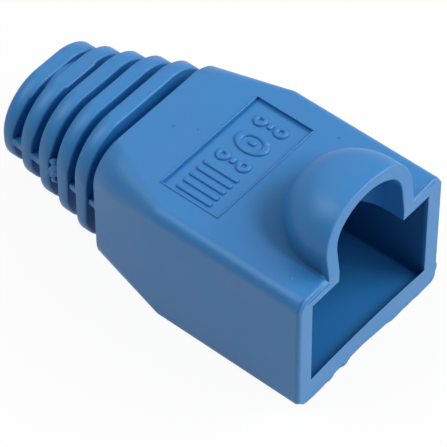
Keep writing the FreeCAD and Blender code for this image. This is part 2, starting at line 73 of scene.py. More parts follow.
# %% Camera
def add_camera(place_mm, turn, height, roll, lens):
    """Camera at a place in mm that looks along a compass turn and down by a height angle."""
    eye = bpy.data.cameras.new("camera")
    eye.sensor_width = 36.0
    eye.lens = lens
    eye.clip_start, eye.clip_end = 0.01, 5.0
    holder = bpy.data.objects.new("camera", eye)
    bpy.context.scene.collection.objects.link(holder)
    turned = Euler((math.radians(90.0 - height), 0.0, math.radians(turn))).to_matrix()
    rolled = turned @ Matrix.Rotation(math.radians(roll), 3, "Z")
    holder.rotation_euler = rolled.to_euler()
    holder.location = Vector(place_mm) * MM
    return holder


camera = add_camera(place_mm=(-106.14, -91.91, 164.68), turn=-49.61, height=49.27,
                    roll=-0.46, lens=260.3)
bpy.context.scene.camera = camera
print("camera at", [round(v, 4) for v in camera.location])


# %% [markdown]
# ## Floor, backdrop and light
# The boot lies on white paper under seven large soft boxes. The strongest stand at the front
# right, high and low, and a high one behind on the left lifts the top face. The weak ones
# in front reach into the socket, and those behind keep the tail's grooves from going black.
# One key lamp and an even world would be quicker, but they flatten the ribs and the hood.
# Floor and world look white to the camera and in reflections. The world adds no light of
# its own, and the floor keeps a faint shadow.

# %% Studio
SOFT_BOX = 260 * MM
LAMP_DISTANCE = 450 * MM
FLOOR_GAP = 0.02 * MM


def looked_at(tree):
    """1 where the camera, a reflection or a see-through part looks, 0 where light bounces."""
    path = tree.nodes.new("ShaderNodeLightPath")
    total = path.outputs["Is Camera Ray"]
    for kind in ("Is Glossy Ray", "Is Transmission Ray"):
        add = tree.nodes.new("ShaderNodeMath")
        add.operation = "ADD"
        add.use_clamp = True
        tree.links.new(total, add.inputs[0])
        tree.links.new(path.outputs[kind], add.inputs[1])
        total = add.outputs[0]
    return total


def make_floor(size, shadow_share):
    """White floor: part of it is plain diffuse paper, which takes the shadow."""
    bpy.ops.mesh.primitive_plane_add(size=size, location=(0, 0, boot_low.z - FLOOR_GAP))
    floor = bpy.context.object
    floor.name = "floor"
    paper = bpy.data.materials.new("white_paper")
    paper.use_nodes = True
    tree = paper.node_tree
    tree.nodes.clear()
    out = tree.nodes.new("ShaderNodeOutputMaterial")
    diffuse = tree.nodes.new("ShaderNodeBsdfDiffuse")
    diffuse.inputs["Color"].default_value = (0.82, 0.82, 0.82, 1.0)
    white = tree.nodes.new("ShaderNodeEmission")
    white.inputs["Color"].default_value = (1.0, 1.0, 1.0, 1.0)
    share = tree.nodes.new("ShaderNodeMath")
    share.operation = "MULTIPLY"
    share.inputs[1].default_value = 1.0 - shadow_share
    mix = tree.nodes.new("ShaderNodeMixShader")
    tree.links.new(looked_at(tree), share.inputs[0])
    tree.links.new(share.outputs[0], mix.inputs[0])
    tree.links.new(diffuse.outputs[0], mix.inputs[1])
    tree.links.new(white.outputs[0], mix.inputs[2])
    tree.links.new(mix.outputs[0], out.inputs["Surface"])
    floor.data.materials.append(paper)
    return floor


def add_lamp(name, towards, watts):
    """Square soft box on the side of the boot that `towards` points to, aimed at it."""
    lamp = bpy.data.lights.new(name, "AREA")
    lamp.shape = "SQUARE"
    lamp.size = SOFT_BOX
    lamp.energy = watts
    holder = bpy.data.objects.new(name, lamp)
    bpy.context.scene.collection.objects.link(holder)
    holder.location = BOOT_MIDDLE + Vector(towards).normalized() * LAMP_DISTANCE
    aim = BOOT_MIDDLE - holder.location
    holder.rotation_euler = aim.to_track_quat("-Z", "Y").to_euler()
    return holder


def set_world(strength):
    """Surroundings that light the boot with this strength and look plain white."""
    world = bpy.data.worlds.new("studio")
    bpy.context.scene.world = world
    world.use_nodes = True
    tree = world.node_tree
    tree.nodes.clear()
    out = tree.nodes.new("ShaderNodeOutputWorld")
    fill = tree.nodes.new("ShaderNodeBackground")
    fill.inputs["Strength"].default_value = strength
    white = tree.nodes.new("ShaderNodeBackground")
    mix = tree.nodes.new("ShaderNodeMixShader")
    for source in (fill, white):
        source.inputs["Color"].default_value = (1.0, 1.0, 1.0, 1.0)
    tree.links.new(looked_at(tree), mix.inputs[0])
    tree.links.new(fill.outputs[0], mix.inputs[1])
    tree.links.new(white.outputs[0], mix.inputs[2])
    tree.links.new(mix.outputs[0], out.inputs["Surface"])


bpy.context.scene.view_settings.view_transform = "Standard"
make_floor(size=3.0, shadow_share=0.06)
set_world(strength=0.0)
LAMPS = (("front", (0, -1, 1), 0.46),
         ("front_low", (0, -1, 0.15), 0.2),
         ("front_right", (0.7, -0.7, 1), 1.03),
         ("front_right_low", (0.7, -0.7, 0.36), 0.69),
         ("back_right", (0.7, 0.7, 1), 0.2),
         ("back_left", (-0.7, 0.7, 1), 0.16),
         ("back_left_high", (-0.27, 0.4, 0.88), 0.77))
for name, towards, watts in LAMPS:
    add_lamp(name, towards, watts)
print("lamps:", [name for name, towards, watts in LAMPS])


# %% [markdown]
# ## The plastic: its pattern groups
# The boot is blue PVC with a satin skin. The mould's cavity was spark eroded, which leaves a
# fine even grain. Over it lie slow waves where the plastic shrank, faint flow clouds in the
# colour, and a few pale specks. Each effect is a node group, so that any material can use it
# at its own strength. All read object coordinates, so they stay put when the boot turns.
# An image could hold the same patterns, but it would need a flat layout of the boot's skin.

# %% Plastic: node helpers
def start_group(name, inputs, outputs):
    """Empty node group with float inputs (name, value) and named outputs."""
    group = bpy.data.node_groups.new(name, "ShaderNodeTree")
    for title, value in inputs:
        socket = group.interface.new_socket(title, in_out="INPUT",
                                            socket_type="NodeSocketFloat")
        socket.default_value = value
    for title, kind in outputs:
        group.interface.new_socket(title, in_out="OUTPUT", socket_type=kind)
    return (group, group.nodes.new("NodeGroupInput"), group.nodes.new("NodeGroupOutput"),
            group.nodes.new("ShaderNodeTexCoord"))


def noise(tree, place, scale, detail):
    """Noise in object coordinates; the scale is in waves per metre."""
    node = tree.nodes.new("ShaderNodeTexNoise")
    node.inputs["Scale"].default_value = scale
    node.inputs["Detail"].default_value = detail
    tree.links.new(place.outputs["Object"], node.inputs["Vector"])
    return node.outputs["Fac"]


def maths(tree, operation, first, second):
    """Math node; each operand is a socket or a number."""
    node = tree.nodes.new("ShaderNodeMath")
    node.operation = operation
    for socket, value in zip(node.inputs, (first, second)):
        if isinstance(value, (int, float)):
            socket.default_value = value
        else:
            tree.links.new(value, socket)
    return node.outputs[0]


def fade(tree, value, start, end):
    """1 up to `start`, 0 from `end` on, and smooth in between."""
    node = tree.nodes.new("ShaderNodeMapRange")
    node.interpolation_type = "SMOOTHSTEP"
    tree.links.new(value, node.inputs["Value"])
    for title, number in (("From Min", start), ("From Max", end), ("To Min", 1.0),
                          ("To Max", 0.0)):
        node.inputs[title].default_value = number
    return node.outputs["Result"]


def rise(tree, value, start, end):
    """0 up to `start`, 1 from `end` on, and smooth in between."""
    return maths(tree, "SUBTRACT", 1.0, fade(tree, value, start, end))


def product(tree, mask, *shares):
    """Mask times each of the shares."""
    for share in shares:
        mask = maths(tree, "MULTIPLY", mask, share)
    return mask


def split(tree, place):
    """The x, y and z of a point in object coordinates."""
    parts = tree.nodes.new("ShaderNodeSeparateXYZ")
    tree.links.new(place.outputs["Object"], parts.inputs["Vector"])
    return parts.outputs


print("helpers:", [f.__name__ for f in (start_group, noise, maths, fade, rise, product, split)])


# %% Plastic: grain, clouds and specks
def moulded_grain():
    """Normal of a spark-eroded mould face: fine grain over slow shrinkage waves."""
    tree, given, out, place = start_group(
        "moulded_grain", (("Grain", 0.1), ("Waves", 0.1)), (("Normal", "NodeSocketVector"),))
    slow = tree.nodes.new("ShaderNodeBump")
    slow.inputs["Distance"].default_value = 0.4 * MM
    tree.links.new(given.outputs["Waves"], slow.inputs["Strength"])
    tree.links.new(noise(tree, place, 420.0, 1.0), slow.inputs["Height"])
    fine = tree.nodes.new("ShaderNodeBump")
    fine.inputs["Distance"].default_value = 0.03 * MM
    tree.links.new(given.outputs["Grain"], fine.inputs["Strength"])
    tree.links.new(noise(tree, place, 5200.0, 2.0), fine.inputs["Height"])
    tree.links.new(slow.outputs["Normal"], fine.inputs["Normal"])
    tree.links.new(fine.outputs["Normal"], out.inputs["Normal"])
    return tree


def flow_clouds():
    """Mask of the slow clouds that flow leaves in the colour."""
    tree, given, out, place = start_group(
        "flow_clouds", (("Size", 260.0),), (("Mask", "NodeSocketFloat"),))
    clouds = tree.nodes.new("ShaderNodeTexNoise")
    clouds.inputs["Detail"].default_value = 3.0
    tree.links.new(place.outputs["Object"], clouds.inputs["Vector"])
    tree.links.new(given.outputs["Size"], clouds.inputs["Scale"])
    tree.links.new(clouds.outputs["Fac"], out.inputs["Mask"])
    return tree


def pale_specks():
    """Mask of small pale dust specks, one here and there."""
    tree, given, out, place = start_group(
        "pale_specks", (("Spacing", 700.0), ("Share", 0.1)), (("Mask", "NodeSocketFloat"),))
    cells = tree.nodes.new("ShaderNodeTexVoronoi")
    tree.links.new(place.outputs["Object"], cells.inputs["Vector"])
    tree.links.new(given.outputs["Spacing"], cells.inputs["Scale"])
    tone = tree.nodes.new("ShaderNodeSeparateColor")
    tree.links.new(cells.outputs["Color"], tone.inputs["Color"])
    chosen = maths(tree, "LESS_THAN", tone.outputs["Red"], given.outputs["Share"])
    near = maths(tree, "LESS_THAN", cells.outputs["Distance"], 0.05)
    tree.links.new(maths(tree, "MULTIPLY", chosen, near), out.inputs["Mask"])
    return tree


GRAIN, CLOUDS, SPECKS = moulded_grain(), flow_clouds(), pale_specks()
print("groups:", [group.name for group in (GRAIN, CLOUDS, SPECKS)])


# %% [markdown]
# ## The plastic: marks of one place
# Some marks belong to one place on the boot, and most of them are painted shade or light.
# The blend at the hood's foot gets painted shade and is made a little rougher. The inside
# of the socket gets painted shade, most of all on its side walls. The mouth's front face and
# the hood's rim are painted a little paler, a painted light. The dark spots are painted shade
# of small pits, one pale spot in the panel is a painted glint, and the other is a pale speck.
# Each is a mask measured from the boot's own sizes. They could be painted on the vertices as
# well, but a mask keeps its soft edge however coarse the mesh is.

# %% Plastic: masks of one place
NARROWEST_HOOD_SHADE = 0.3 * MM


def hood_foot_shade():
    """Mask of painted shade at the hood's foot: narrow beside the hood and wide behind it."""
    tree, given, out, place = start_group(
        "hood_foot_shade", (("Width", 0.003),), (("Mask", "NodeSocketFloat"),))
    x, y, z = split(tree, place)
    behind = maths(tree, "MAXIMUM", maths(tree, "SUBTRACT", y, HOOD_MIDDLE_Y), 0.0)
    away = maths(tree, "POWER", maths(tree, "ADD", maths(tree, "POWER", x, 2.0),
                                      maths(tree, "POWER", behind, 2.0)), 0.5)
    turn = maths(tree, "POWER", maths(tree, "DIVIDE", behind, away), 2.0)
    width = maths(tree, "ADD", maths(tree, "MULTIPLY", turn, given.outputs["Width"]),
                  NARROWEST_HOOD_SHADE)
    beyond = maths(tree, "DIVIDE", maths(tree, "SUBTRACT", away, HOOD_RADIUS), width)
    off_middle = maths(tree, "ABSOLUTE", maths(tree, "SUBTRACT", beyond, 0.2), 0.0)
    low_down = fade(tree, z, PANEL_TOP + 0.2 * MM, PANEL_TOP + 2.2 * MM)
    less_behind = maths(tree, "SUBTRACT", 1.0, maths(tree, "MULTIPLY", turn, 0.4))
    above = rise(tree, z, PANEL_TOP - 0.2 * MM, PANEL_TOP)
    inward = rise(tree, y, MOUTH_Y + 0.3 * MM, MOUTH_Y + 0.8 * MM)
    mask = product(tree, fade(tree, off_middle, 0.1, 1.0), low_down, less_behind, above,
                   inward)
    tree.links.new(mask, out.inputs["Mask"])
    return tree


def socket_shade():
    """Mask of painted shade inside the socket: full on its side walls, weaker on floor and
    ceiling.
    """
    tree, given, out, place = start_group(
        "socket_shade", (("Floor share", 0.12),), (("Mask", "NodeSocketFloat"),))
    x, y, z = split(tree, place)
    across = maths(tree, "ABSOLUTE", x, 0.0)
    wall = rise(tree, across, SOCKET_SIDE - 0.3 * MM, SOCKET_SIDE - 0.05 * MM)
    wall_share = maths(tree, "SUBTRACT", 1.0, given.outputs["Floor share"])
    mask = product(
        tree,
        maths(tree, "ADD", maths(tree, "MULTIPLY", wall, wall_share),
              given.outputs["Floor share"]),
        rise(tree, y, MOUTH_Y + 0.1 * MM, MOUTH_Y + 0.4 * MM),
        rise(tree, z, 0.6 * MM, 0.9 * MM),
        fade(tree, across, SOCKET_SIDE + 0.05 * MM, SOCKET_SIDE + 0.15 * MM),
        fade(tree, z, SOCKET_TOP, SOCKET_TOP + 0.1 * MM),
        fade(tree, y, SOCKET_BACK_Y + 0.05 * MM, SOCKET_BACK_Y + 0.25 * MM))
    tree.links.new(mask, out.inputs["Mask"])
    return tree


def mouth_face_light():
    """Mask of painted light on the mouth's front face and the hood's rim, which leans back
    above it.
    """
    tree, given, out, place = start_group(
        "mouth_face_light", (("Lean", 0.13),), (("Mask", "NodeSocketFloat"),))
    x, y, z = split(tree, place)
    over_top = maths(tree, "MAXIMUM", maths(tree, "SUBTRACT", z, PANEL_TOP), 0.0)
    lean = maths(tree, "MULTIPLY", over_top, given.outputs["Lean"])
    behind = maths(tree, "SUBTRACT", y, lean)
    mask = fade(tree, behind, MOUTH_Y + 0.05 * MM, MOUTH_Y + 0.15 * MM)
    tree.links.new(mask, out.inputs["Mask"])
    return tree


def small_spot():
    """Mask of one round spot; its middle and its radius are in mm."""
    tree, given, out, place = start_group(
        "small_spot", (("X", 0.0), ("Y", 0.0), ("Z", 0.0), ("Radius", 0.15)),
        (("Mask", "NodeSocketFloat"),))
    middle = tree.nodes.new("ShaderNodeCombineXYZ")
    for axis in "XYZ":
        tree.links.new(given.outputs[axis], middle.inputs[axis])
    in_mm = tree.nodes.new("ShaderNodeVectorMath")
    in_mm.operation = "SCALE"
    in_mm.inputs["Scale"].default_value = 1 / MM
    tree.links.new(place.outputs["Object"], in_mm.inputs[0])
    apart = tree.nodes.new("ShaderNodeVectorMath")
    apart.operation = "DISTANCE"
    tree.links.new(in_mm.outputs[0], apart.inputs[0])
    tree.links.new(middle.outputs[0], apart.inputs[1])
    share = maths(tree, "DIVIDE", apart.outputs["Value"], given.outputs["Radius"])
    tree.links.new(fade(tree, share, 0.4, 1.0), out.inputs["Mask"])
    return tree


HOOD_FOOT_SHADE, SOCKET_SHADE, MOUTH_FACE_LIGHT, SPOT = hood_foot_shade(), socket_shade(), mouth_face_light(), small_spot()
# Each spot is a place in mm and a radius in mm.
# Dark spots: painted shade of small pits on the top, which have no geometry of their own.
PIT_SHADE_SPOTS = ((-0.66, 2.01, 10.4, 0.2), (0.12, 0.59, 10.4, 0.16), (5.37, -6.87, 10.4, 0.17))
# The first is a painted glint, a highlight in the panel; the second is a pale speck on the left
# side.
GLINT_AND_PALE_SPECK = ((2.05, -3.68, 10.3, 0.18), (-7.2, 1.22, 8.09, 0.12))
print("groups:", [group.name for group in (HOOD_FOOT_SHADE, SOCKET_SHADE, MOUTH_FACE_LIGHT, SPOT)])


# %% [markdown]
# ## The plastic: the material
# The pigment is an even strong blue. The clouds shift it by a few percent and make the skin
# a little more or less rough, as where the plastic met the cold mould first. Over them go
# the masks of one place, from the widest to the smallest, and the specks stay on top. A
# flat colour would do from far away, but up close it looks like a drawing.

# %% Plastic: the material
def linear(red, green, blue):
    """Scene-linear colour from the usual 0-255 values."""
    shares = [value / 255 for value in (red, green, blue)]
    return tuple(share / 12.92 if share <= 0.04045 else ((share + 0.055) / 1.055) ** 2.4
                 for share in shares)


def shade(colour, share, lift=0.0):
    """Colour times a share, and then lifted towards white."""
    return tuple(value * share + lift for value in colour)


def build_plastic(name, colour, roughness):
    """Satin PVC: pigment with clouds, masks of one place and specks, and a grained skin."""
    plastic = bpy.data.materials.new(name)
    plastic.use_nodes = True
    tree = plastic.node_tree
    shader = tree.nodes["Principled BSDF"]

    def use(group, **values):
        node = tree.nodes.new("ShaderNodeGroup")
        node.node_tree = group
        for title, value in values.items():
            node.inputs[title].default_value = value
        return node

    def blend(mask, first, second):
        node = tree.nodes.new("ShaderNodeMix")
        node.data_type = "RGBA"
        tree.links.new(mask, node.inputs["Factor"])
        for title, value in (("A", first), ("B", second)):
            if isinstance(value, tuple):
                node.inputs[title].default_value = (*value, 1.0)
            else:
                tree.links.new(value, node.inputs[title])
        return node.outputs["Result"]

    clouds = use(CLOUDS, Size=260.0).outputs["Mask"]
    specks = use(SPECKS, Spacing=520.0, Share=0.05).outputs["Mask"]
    hood_shade = use(HOOD_FOOT_SHADE, Width=0.003).outputs["Mask"]
    pale = shade(colour, 0.8, lift=0.12)
    # Paler colour for the painted light on the mouth's front face and the hood's rim.
    rim = tuple(value + lift for value, lift in zip(colour, (0.025, 0.025, 0.01)))
    pigment = blend(clouds, shade(colour, 0.93), shade(colour, 1.07))
    # Painted shade at the hood's foot: the pigment there is darkened. The same mask makes it
    # rougher.
    pigment = blend(hood_shade, pigment, shade(colour, 0.6))
    # Painted shade inside the socket, deepest on its side walls.
    pigment = blend(use(SOCKET_SHADE).outputs["Mask"], pigment, shade(colour, 0.55))
    # Painted light: the mouth's front face and the hood's rim are made paler.
    pigment = blend(use(MOUTH_FACE_LIGHT).outputs["Mask"], pigment, rim)
    # Pit spots get painted shade; the glint is a painted highlight and the other pale spot a
    # speck.
    for spots, tone in ((PIT_SHADE_SPOTS, shade(colour, 0.62)), (GLINT_AND_PALE_SPECK, pale)):
        for x, y, z, radius in spots:
            spot = use(SPOT, X=x, Y=y, Z=z, Radius=radius).outputs["Mask"]
            pigment = blend(spot, pigment, tone)
    tree.links.new(blend(specks, pigment, pale), shader.inputs["Base Color"])
    spread = maths(tree, "MULTIPLY", maths(tree, "SUBTRACT", clouds, 0.5), 0.16)
    duller = maths(tree, "MULTIPLY", hood_shade, 0.35)
    rough = maths(tree, "ADD", maths(tree, "ADD", spread, duller), roughness)
    tree.links.new(rough, shader.inputs["Roughness"])
    grain = use(GRAIN, Grain=0.12, Waves=0.05)
    tree.links.new(grain.outputs["Normal"], shader.inputs["Normal"])
    return plastic


PVC_BLUE = linear(37, 119, 183)
blue_pvc = build_plastic("blue_pvc", PVC_BLUE, roughness=0.45)
print("plastic colour", [round(v, 3) for v in PVC_BLUE])


# %% [markdown]
# ## The boot's skin
# The CAD model's mesh is loose triangles with hard shading. A copy is merged and shaded
# smooth except across real edges, so it keeps the solid's form and stands in for it. The
# narrow bevels of the mould are left out of the sharp edges: with weighted normals the big
# faces stay flat and each bevel looks like the small round edge that it is on a real boot.
# A subdivision would round them too, but it would also soften the whole form.

# %% Skin: copy, shade and hang a piece
MERGE_DISTANCE = 0.002 * MM
FLAT_ANGLE = math.radians(0.5)


def pick(piece):
    """Make this the only selected object."""
    bpy.ops.object.select_all(action="DESELECT")
    piece.select_set(True)
    bpy.context.view_layer.objects.active = piece


def merged_copy(node, name):
    """Copy of a CAD node's mesh with its triangles joined into the faces they make up."""
    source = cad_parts[node]
    copy = bpy.data.objects.new(name, source.data.copy())
    bpy.context.scene.collection.objects.link(copy)
    shape = bmesh.new()
    shape.from_mesh(copy.data)
    bmesh.ops.remove_doubles(shape, verts=shape.verts, dist=MERGE_DISTANCE)
    bmesh.ops.dissolve_limit(shape, angle_limit=FLAT_ANGLE, verts=shape.verts,
                             edges=shape.edges)
    shape.to_mesh(copy.data)
    shape.free()
    pick(copy)
    bpy.ops.mesh.customdata_custom_splitnormals_clear()
    return copy


def soften(piece, degrees):
    """Smooth shading except across edges sharper than this, with the big faces kept flat."""
    pick(piece)
    bpy.ops.object.shade_smooth_by_angle(angle=math.radians(degrees))
    weighted = piece.modifiers.new("flat_faces", "WEIGHTED_NORMAL")
    weighted.keep_sharp = True
    weighted.weight = 100
    bpy.ops.object.modifier_apply(modifier=weighted.name)


def dress(piece, name, material):
    """Name a finished piece, put its place in its mesh and hang it on the boot."""
    pick(piece)
    bpy.ops.object.transform_apply(location=True, rotation=True, scale=True)
    piece.name = name
    piece.data.materials.clear()
    piece.data.materials.append(material)
    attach(piece, "root")
    print(name, "has", len(piece.data.polygons), "faces")


skin = merged_copy("boot", "boot_skin")
print("skin starts with", len(skin.data.polygons), "faces")


# %% [markdown]
# ## What moulding does to the mouth and the ribs
# A real boot strays a little from its drawing. The step behind the lower lip is steep. The
# edges of the front face are round by a few hundredths of a millimetre. On the right
# and below, flash fills the bevel, so the front face runs out almost to the side and down
# to the base, where it is torn off unevenly. The ribs are a little thicker above the cable
# than in the solid. All of this is done by moving the skin's own vertices. A sculpting
# brush could do it too, but not twice in the same way.

# %% Skin: the mouth
MOUTH_BEVEL = 0.27 * MM
FRONT_HALF = 6.93 * MM
CORNER_START = 6.48 * MM
CORNER_TOP = 0.72 * MM
NEAR = 0.01 * MM
# Places across the boot, in mm, and how high over the base the flash is torn off there.
LIP_EDGE = ((-6.9, 0.14), (-6.3, 0.06), (-5.6, 0.0), (-3.65, 0.0), (-3.4, 0.2), (-2.8, 0.2),
            (-2.5, 0.06), (-2.2, 0.06), (-1.9, 0.34), (-0.6, 0.43), (0.1, 0.4), (0.8, 0.29),
            (2.1, 0.19), (2.4, 0.0), (6.9, 0.0))


def deepen_lip_step(piece, wall, drop):
    """Make the ramp behind the lip a steep wall: the floor's front edge moves under it."""
    ramp_foot = MOUTH_Y + 0.45 * MM
    for vert in piece.data.vertices:
        if abs(vert.co.y - ramp_foot) < 2 * NEAR and vert.co.z < 3 * MM:
            vert.co.y = MOUTH_Y + wall
            vert.co.z -= drop


def round_front_edges(piece, width):
    """Round the sharp edges of the mouth's front face and of the hood's rim."""
    pick(piece)
    bpy.ops.object.mode_set(mode="EDIT")
    shape = bmesh.from_edit_mesh(piece.data)
    for face in shape.faces:
        face.select = False
    for edge in shape.edges:
        faces = edge.link_faces
        faces_front = any(face.normal.y < -0.95 for face in faces)
        near_mouth = all(vert.co.y < MOUTH_Y + 1.2 * MM for vert in edge.verts)
        edge.select = (len(faces) == 2 and faces_front and near_mouth
                       and edge.calc_face_angle() > math.radians(55))
    shape.select_flush(True)
    bmesh.update_edit_mesh(piece.data)
    bpy.ops.mesh.bevel(offset=width, segments=2, affect="EDGES", clamp_overlap=False)
    bpy.ops.object.mode_set(mode="OBJECT")


def edge_height(x):
    """Height in mm of the lower lip's edge at a place across the boot."""
    for (left, low), (right, high) in zip(LIP_EDGE, LIP_EDGE[1:]):
        if x <= right:
            return low + (high - low) * max(x - left, 0.0) / (right - left)
    return LIP_EDGE[-1][1]


def fill_lower_bevel(piece):
    """Let the front face run down to the base as uneven flash, torn off left of the middle."""
    shape = bmesh.new()
    shape.from_mesh(piece.data)
    lip = [edge for edge in shape.edges
           if all(vert.co.z < 0.5 * MM and abs(vert.co.x) < 6.5 * MM
                  and abs(vert.co.y - MOUTH_Y) < NEAR for vert in edge.verts)]
    bmesh.ops.subdivide_edges(shape, edges=lip, cuts=9)
    for vert in shape.verts:
        depth = (vert.co.y - MOUTH_Y) / MOUTH_BEVEL
        if depth < 0.9 and vert.co.z < CORNER_TOP:
            low = edge_height(vert.co.x / MM) * MM
            if abs(vert.co.x) > CORNER_START:
                up = (vert.co.z - MOUTH_BEVEL) / (CORNER_TOP - MOUTH_BEVEL)
                low += (CORNER_TOP - low) * up
            vert.co.z += (low - vert.co.z) * (1 - max(depth, 0.0))
    shape.to_mesh(piece.data)
    shape.free()


def fill_right_bevel(piece, amount):
    """Let the front face run out almost to the right side, where flash fills the bevel."""
    start = 6.0 * MM
    for vert in piece.data.vertices:
        depth = (vert.co.y - MOUTH_Y) / MOUTH_BEVEL
        if vert.co.x > start and depth < 0.9:
            vert.co.x += amount * (1 - depth) * (vert.co.x - start) / (FRONT_HALF - start)


deepen_lip_step(skin, wall=0.08 * MM, drop=0.35 * MM)
round_front_edges(skin, width=0.07 * MM)
fill_lower_bevel(skin)
fill_right_bevel(skin, amount=0.24 * MM)
print("front face now reaches x =", round(max(v.co.x for v in skin.data.vertices) / MM, 2))


# %% Skin: the ribs, and the finished skin
RIB_COUNT = 5
RIB_PITCH = 1.94 * MM
RIB_THICKNESS = 0.96 * MM
RIB_BEVEL = 0.16 * MM
TAIL_SLOPE = math.tan(math.radians(5.5))


def cable_height(y):
    """Height of the cable's axis in the tail, which slopes down towards its end."""
    return 5.2 * MM - (y - 5 * MM) * TAIL_SLOPE


def widen_ribs(piece, amount, start, over):
    """Move the front wall of each rib towards the mouth: not at all up to the height `start`
    over the cable's axis, and in full once it is `over` higher."""
    for rib in range(RIB_COUNT):
        wall = boot_high.y - rib * RIB_PITCH - RIB_THICKNESS
        for vert in piece.data.vertices:
            if -NEAR < vert.co.y - wall < RIB_BEVEL + NEAR:
                up = (vert.co.z - cable_height(wall) - start) / over
                vert.co.y -= amount * min(max(up, 0.0), 1.0)


widen_ribs(skin, amount=0.25 * MM, start=0.6 * MM, over=1.8 * MM)
soften(skin, degrees=48)
dress(skin, "boot_skin", blue_pvc)
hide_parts("boot")


# %% [markdown]
# ## Raised marks in the panel
# The mould is engraved inside the panel, so the boot carries low raised marks there. These
# are plain: a comb of bars, and a few rings with a short bar between or inside them. A bar
# is a cube with all of its edges bevelled round, and a ring is a torus pressed flat.
# Each is modelled once and copied; text objects or a displacement would be other ways.

# %% Marks: the panel's place and the two shapes
PANEL_FLOOR = PANEL_TOP - 0.2 * MM
PANEL_MIDDLE_Y = MOUTH_Y + (8.6 + 4.75 / 2) * MM
STROKE = 0.42 * MM
MARK_HEIGHT = 0.17 * MM
ROW = 0.1


def raised_bar(length):
    """Rounded stick along Y that stands half out of the panel's floor."""
    bpy.ops.object.select_all(action="DESELECT")
    bpy.ops.mesh.primitive_cube_add(size=1.0, location=(0.0, 0.0, 0.0))
    bar = bpy.context.object
    bar.scale = (STROKE, length, 2 * MARK_HEIGHT)
    bpy.ops.object.transform_apply(location=False, rotation=False, scale=True)
    bpy.ops.object.mode_set(mode="EDIT")
    bpy.ops.mesh.select_all(action="SELECT")
    bpy.ops.mesh.bevel(offset=0.95 * MARK_HEIGHT, segments=4, affect="EDGES")
    bpy.ops.object.mode_set(mode="OBJECT")
    bpy.ops.object.shade_smooth()
    return bar


def raised_ring(width, length):
    """Torus pressed flat and stretched to an oval, half sunk in the panel's floor."""
    bpy.ops.object.select_all(action="DESELECT")
    bpy.ops.mesh.primitive_torus_add(major_radius=(width - STROKE) / 2,
                                     minor_radius=STROKE / 2, major_segments=40,
                                     minor_segments=12, location=(0.0, 0.0, 0.0))
    ring = bpy.context.object
    bpy.ops.object.mode_set(mode="EDIT")
    bpy.ops.mesh.select_all(action="SELECT")
    bpy.ops.transform.resize(value=(1.0, length / width, 2 * MARK_HEIGHT / STROKE))
    bpy.ops.object.mode_set(mode="OBJECT")
    bpy.ops.object.shade_smooth()
    return ring


def placed_copy(mark, x, y, turn=0.0):
    """Copy of a mark with its own mesh, at a place in mm from the panel's middle."""
    copy = bpy.data.objects.new("mark", mark.data.copy())
    bpy.context.scene.collection.objects.link(copy)
    copy.data.transform(Matrix.Translation((x * MM, PANEL_MIDDLE_Y + y * MM, PANEL_FLOOR))
                        @ Matrix.Rotation(math.radians(turn), 4, "Z"))
    return copy


print("panel floor at z =", round(PANEL_FLOOR / MM, 2), "marks", round(MARK_HEIGHT / MM, 2))


# %% Marks: lay them out and join them
long_bar = raised_bar(2.9 * MM)
tick = raised_bar(0.62 * MM)
oval = raised_ring(1.9 * MM, 2.7 * MM)
small_ring = raised_ring(1.1 * MM, 1.1 * MM)
marks = [placed_copy(long_bar, -4.2 + 0.66 * step, ROW) for step in range(5)]
for x in (-0.35, 3.45):
    marks += [placed_copy(small_ring, x, ROW + y) for y in (-0.85, 0.85)]
    marks.append(placed_copy(tick, x, ROW, turn=90))
marks += [placed_copy(oval, 1.55, ROW), placed_copy(tick, 1.55, ROW)]
for pattern in (long_bar, tick, oval, small_ring):
    bpy.data.objects.remove(pattern)
pick(marks[0])
for mark in marks:
    mark.select_set(True)
bpy.ops.object.join()
dress(bpy.context.object, "panel_marks", blue_pvc)


# %% [markdown]
# ## Moulding flash
# Where the halves of the mould meet, a little plastic squeezes out and leaves a thin uneven
# ridge. On this boot it follows both upper edges of the mouth's bevel beside the hood, and
# the lower lip. The panel's rim has a similar ridge, where the mould holds the marks' die.
# Each is made from the skin's own edges, so it lies exactly on them: they are copied, cut
# finer, turned into a thin round cord and then made uneven by a displacement. Painting it
# with a bump map would not change the outline, as this does.

# %% Flash: a cord along chosen edges of the skin
def ragged(piece, amount, grain):
    """Make a piece uneven with cloud noise."""
    clouds = bpy.data.textures.new("clouds", "CLOUDS")
    clouds.noise_scale = grain
    clouds.noise_depth = 2
    rough = piece.modifiers.new("ragged", "DISPLACE")
    rough.texture = clouds
    rough.texture_coords = "LOCAL"
    rough.strength = amount
    rough.mid_level = 0.5
    pick(piece)
    bpy.ops.object.modifier_apply(modifier=rough.name)


def stand_on_base(piece):
    """Press flat what would reach below the boot's base."""
    for vert in piece.data.vertices:
        vert.co.z = max(vert.co.z, boot_low.z)


